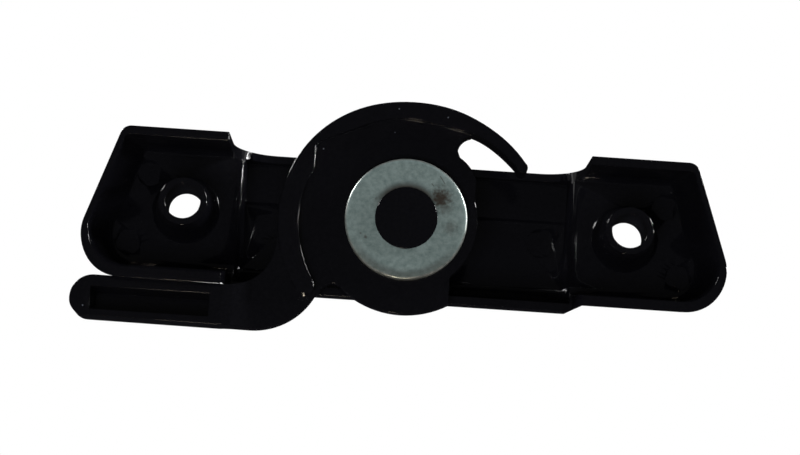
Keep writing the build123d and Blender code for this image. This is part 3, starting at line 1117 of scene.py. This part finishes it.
@dataclass
class Studio:
    """Pale floor, white surroundings, soft boxes above and below, and the camera.

    Attributes:
        floor_colour: the floor's colour.
        floor_gap: how far the floor is below the sash face, in metres.
        floor_radius: where the floor has faded out, in metres.
        floor_full: the share of that radius up to which it is full.
        floor_sides: sides of the floor's outline.
        lamp_distance: how far the lamps are from the lock, in metres.
        lamps: the soft boxes.
        dome: brightness of the surroundings by height, dark below and overhead so
            that the enamel's walls stay black when they are seen from the sash side.
        screen: a dark screen on the handle side: the part along Y of the line of sight
            where it starts to hide the dome, and the part where it hides most of it.
        screen_share: the share of the dome's light that the screen lets through.
        camera_place: the camera's place, in millimetres.
        camera_yaw: turn about the camera's up axis, in radians.
        camera_tilt: turn about its right axis, in radians.
        camera_roll: turn about its line of sight, in radians.
        focal_pixels: focal length in pixels of the picture.
        sensor_width: width of the camera's sensor, in millimetres.
        clip: nearest and farthest distance that the camera sees, in metres.
    """

    floor_colour: str = "#f2f2f0"
    floor_gap: float = 0.0003
    floor_radius: float = 0.9
    floor_full: float = 0.2
    floor_sides: int = 96
    lamp_distance: float = 0.6
    lamps: tuple[Lamp, ...] = (
        Lamp("key_above", -60.0, 60.0, 0.45, 8.0, mirrored=False),
        Lamp("fill_above", 120.0, 65.0, 0.60, 8.0, mirrored=False),
        Lamp("face_below", -70.0, -62.0, 0.30, 1.75, mirrored=False),
        Lamp("side_left_below", 168.0, -4.0, 0.06, 1.4),
        Lamp("handle_side_below", -85.0, -15.0, 0.09, 0.6, "#fff0d8"),
        Lamp("keeper_left_below", 148.0, -4.0, 0.12, 2.4),
        Lamp("keeper_right_below", 36.0, -4.0, 0.12, 1.6),
    )
    dome: tuple[DomeStop, ...] = (
        DomeStop(-1.0, 0.03),
        DomeStop(0.05, 0.02),
        DomeStop(0.2, 0.8),
        DomeStop(0.33, 0.6),
        DomeStop(0.46, 0.01),
        DomeStop(1.0, 0.004),
    )
    screen: tuple[float, float] = (-0.78, -0.92)
    screen_share: float = 0.03
    camera_place: tuple[float, float, float] = (3.097, -61.495, -303.641)
    camera_yaw: float = -0.00755
    camera_tilt: float = 0.19424
    camera_roll: float = -0.0651
    focal_pixels: float = 2187.0
    sensor_width: float = 36.0
    clip: tuple[float, float] = (0.01, 20.0)

    def build(self) -> None:
        """Make the surroundings, the floor, the lamps and the camera."""
        self.world()
        self.floor()
        for lamp in self.lamps:
            self.hang(lamp)
        self.camera()
        bpy.context.scene.view_settings.view_transform = "Standard"

    def world(self) -> None:
        """White to the camera, and for light a dome that is brightest near the horizon."""
        world = bpy.data.worlds.new("surroundings")
        bpy.context.scene.world = world
        world.use_nodes = True
        tree = world.node_tree
        tree.nodes.clear()
        path = add_node(tree, "ShaderNodeLightPath").outputs
        way = add_node(tree, "ShaderNodeTexCoord").outputs["Generated"]
        parts = add_node(tree, "ShaderNodeSeparateXYZ", inputs={0: way}).outputs
        share = add_node(
            tree, "ShaderNodeMapRange", inputs={"Value": parts["Z"], "From Min": -1.0}
        ).outputs["Result"]
        ramp = add_node(tree, "ShaderNodeValToRGB", inputs={0: share})
        ramp.color_ramp.interpolation = "EASE"
        stops = ramp.color_ramp.elements
        for number, stop in enumerate(self.dome):
            place = (stop.height + 1) / 2
            element = stops[number] if number < len(stops) else stops.new(place)
            element.position = place
            element.color = (stop.strength, stop.strength, stop.strength, 1.0)
        screened = add_node(
            tree,
            "ShaderNodeMapRange",
            {"interpolation_type": "SMOOTHSTEP"},
            {
                "Value": parts["Y"],
                "From Min": self.screen[0],
                "From Max": self.screen[1],
                "To Min": 1.0,
                "To Max": self.screen_share,
            },
        )
        lit = add_node(
            tree,
            "ShaderNodeMath",
            {"operation": "MULTIPLY"},
            {0: ramp.outputs["Color"], 1: screened.outputs["Result"]},
        )
        seen = add_node(
            tree,
            "ShaderNodeMath",
            {"operation": "MAXIMUM"},
            {0: path["Is Camera Ray"], 1: path["Is Transmission Ray"]},
        )
        strength = add_node(
            tree,
            "ShaderNodeMix",
            {"data_type": "FLOAT"},
            {0: seen.outputs[0], 2: lit.outputs[0], 3: 1.0},
        )
        sky = add_node(
            tree,
            "ShaderNodeBackground",
            inputs={"Color": linear("#ffffff"), "Strength": strength.outputs[0]},
        )
        add_node(tree, "ShaderNodeOutputWorld", inputs={"Surface": sky.outputs[0]})

    def floor(self) -> None:
        """A disc that only a camera above it sees, and that fades out towards its rim."""
        material, tree = new_tree("floor_paper")
        path = add_node(tree, "ShaderNodeLightPath").outputs
        back = add_node(tree, "ShaderNodeNewGeometry").outputs["Backfacing"]
        place = add_node(tree, "ShaderNodeTexCoord").outputs["Object"]
        away = add_node(tree, "ShaderNodeVectorMath", {"operation": "LENGTH"}, {0: place})
        fade = add_node(
            tree,
            "ShaderNodeMapRange",
            {"interpolation_type": "SMOOTHSTEP"},
            {
                "Value": away.outputs["Value"],
                "From Min": self.floor_radius * self.floor_full,
                "From Max": self.floor_radius,
                "To Min": 1.0,
                "To Max": 0.0,
            },
        )
        front = add_node(tree, "ShaderNodeMath", {"operation": "SUBTRACT"}, {0: 1.0, 1: back})
        seen = add_node(
            tree,
            "ShaderNodeMath",
            {"operation": "MULTIPLY"},
            {0: front.outputs[0], 1: path["Is Camera Ray"]},
        )
        share = add_node(
            tree,
            "ShaderNodeMath",
            {"operation": "MULTIPLY"},
            {0: seen.outputs[0], 1: fade.outputs["Result"]},
        )
        clear = add_node(tree, "ShaderNodeBsdfTransparent")
        paper = add_node(
            tree, "ShaderNodeBsdfDiffuse", inputs={"Color": linear(self.floor_colour)}
        )
        both = add_node(
            tree,
            "ShaderNodeMixShader",
            inputs={0: share.outputs[0], 1: clear.outputs[0], 2: paper.outputs[0]},
        )
        add_node(tree, "ShaderNodeOutputMaterial", inputs={"Surface": both.outputs[0]})
        turn = np.linspace(0, 2 * np.pi, self.floor_sides, endpoint=False)
        rim = np.stack(
            [
                self.floor_radius * np.cos(turn),
                self.floor_radius * np.sin(turn),
                np.full(self.floor_sides, -self.floor_gap),
            ],
            axis=1,
        )
        mesh = bpy.data.meshes.new("floor")
        mesh.from_pydata(rim.tolist(), [], [list(range(self.floor_sides))])
        mesh.materials.append(material)
        disc = bpy.data.objects.new("floor", mesh)
        bpy.context.scene.collection.objects.link(disc)

    def hang(self, lamp: Lamp) -> None:
        """Put one soft box at its place and turn it to the lock.

        Args:
            lamp: the soft box.
        """
        turn, rise = math.radians(lamp.azimuth), math.radians(lamp.elevation)
        level = math.cos(rise)
        way = Vector((math.cos(turn) * level, math.sin(turn) * level, math.sin(rise)))
        data = bpy.data.lights.new(lamp.name, "AREA")
        data.size = lamp.size
        data.energy = lamp.power
        data.color = linear(lamp.colour)[:3]
        light = bpy.data.objects.new(lamp.name, data)
        light.location = way * self.lamp_distance
        light.rotation_euler = way.to_track_quat("Z", "Y").to_euler()
        light.visible_glossy = lamp.mirrored
        bpy.context.scene.collection.objects.link(light)

    def camera(self) -> None:
        """Look up at the sash side, with the keeper side at the top of the picture."""
        ahead = Vector((0, 0, 1))
        right = Vector((-1, 0, 0))
        up = Vector((0, 1, 0))
        yaw = Matrix.Rotation(self.camera_yaw, 3, up)
        ahead, right = yaw @ ahead, yaw @ right
        tilt = Matrix.Rotation(self.camera_tilt, 3, right)
        ahead, up = tilt @ ahead, tilt @ up
        roll = Matrix.Rotation(self.camera_roll, 3, ahead)
        right, up = roll @ right, roll @ up
        turn = Matrix((right, up, -ahead)).transposed().to_4x4()
        data = bpy.data.cameras.new("photo_camera")
        data.sensor_fit = "HORIZONTAL"
        data.sensor_width = self.sensor_width
        data.lens = self.focal_pixels / PICTURE_WIDTH * self.sensor_width
        data.clip_start, data.clip_end = self.clip
        camera = bpy.data.objects.new("photo_camera", data)
        camera.matrix_world = Matrix.Translation(Vector(self.camera_place) * MM) @ turn
        bpy.context.scene.collection.objects.link(camera)
        bpy.context.scene.camera = camera


def zinc_plated_steel() -> WasherSteel:
    """Finish of the retaining washer: bright zinc plate, teal-grey, stained round its bore, with
    painted shade on its rolled edge on the handle side.

    Returns:
        The finish.
    """
    return WasherSteel(
        name="zinc_plated_steel",
        light="#b3c7c5",
        dark="#809492",
        stain_and_shade="#4b443d",
        roughness=0.42,
        cloud=0.8,
        line_spacing=0.35,
        # A darker band next to the post head on the keeper side, and painted shade on the rolled outer
        # edge on the handle side
        dark_bands=(DarkBand(4.5, 5.7, 0.5, 4.0, 0.9), DarkBand(8.1, 7.1, -2.5, -7.0, 0.5)),
        spots=(
            Spot(-4.7, 3.2, WASHER_FACE, 2.7, 1.0),
            Spot(-5.3, 2.0, WASHER_FACE, 2.0, 0.5),
            Spot(-6.4, -1.0, WASHER_FACE, 1.6, 0.45),
            Spot(5.6, -3.1, WASHER_FACE, 0.45, 0.75),
            Spot(6.3, -2.6, WASHER_FACE, 0.3, 0.5),
            Spot(4.4, 2.6, WASHER_FACE, 0.5, 0.5),
        ),
        scratches=(
            Scratch((-4.51, 6.41), (-5.23, 5.36)),
            Scratch((-3.35, 5.26), (-3.66, 4.92)),
        ),
    )


def blued_spring_steel() -> WasherSteel:
    """Finish of the cone spring: heat-blued spring steel, a dark blue-grey without stains.

    Returns:
        The finish.
    """
    return WasherSteel(
        name="blued_spring_steel",
        light="#6f7276",
        dark="#4d5054",
        stain_and_shade="#3a3430",
        roughness=0.35,
        cloud=4.0,
        line_spacing=0.3,
    )


def lever_enamel() -> GlossEnamel:
    """Finish of the cam lever: the housing's enamel with the pale specks of its near faces.

    Returns:
        The finish.
    """
    return GlossEnamel(
        "enamel_lever",
        specks=(
            Spot(2.0, 16.0, RIM_FACE, 0.18, 0.5),
            Spot(-5.1, 15.2, RIM_FACE, 0.18, 0.5),
            Spot(12.5, 9.7, WEB_FACE, 0.18, 0.5),
            Spot(2.4, 12.8, WEB_FACE, 0.14, 0.3),
            Spot(10.4, 12.3, WEB_FACE, 0.30, 0.4),
            Spot(44.7, -15.6, HANDLE_FACE, 0.18, 0.6),
            Spot(9.4, -11.8, RIM_FACE, 0.16, 0.4),
            Spot(5.9, -11.6, RIM_FACE, 0.12, 0.3),
        ),
    )


def main() -> None:
    """Build the studio and the lock's pieces."""
    logging.basicConfig(level=logging.INFO, format="%(name)s: %(message)s")
    Studio().build()
    parts = (
        Casting(
            node="housing",
            name="housing_casting",
            body=Body.BASE,
            slot=Slot.HOUSING,
            finish=GlossEnamel("enamel_housing"),
            flare=FootFlare(),
        ),
        Casting(
            node="cam_lever",
            name="cam_casting",
            body=Body.CAM,
            slot=Slot.LEVER,
            finish=lever_enamel(),
        ),
        RetainingWasher(zinc_plated_steel()),
        SpringWasher(blued_spring_steel()),
    )
    for part in parts:
        piece = part.build()
        LOG.info("%s: %d faces", piece.name, len(piece.data.polygons))


if __name__ == "__main__":
    main()
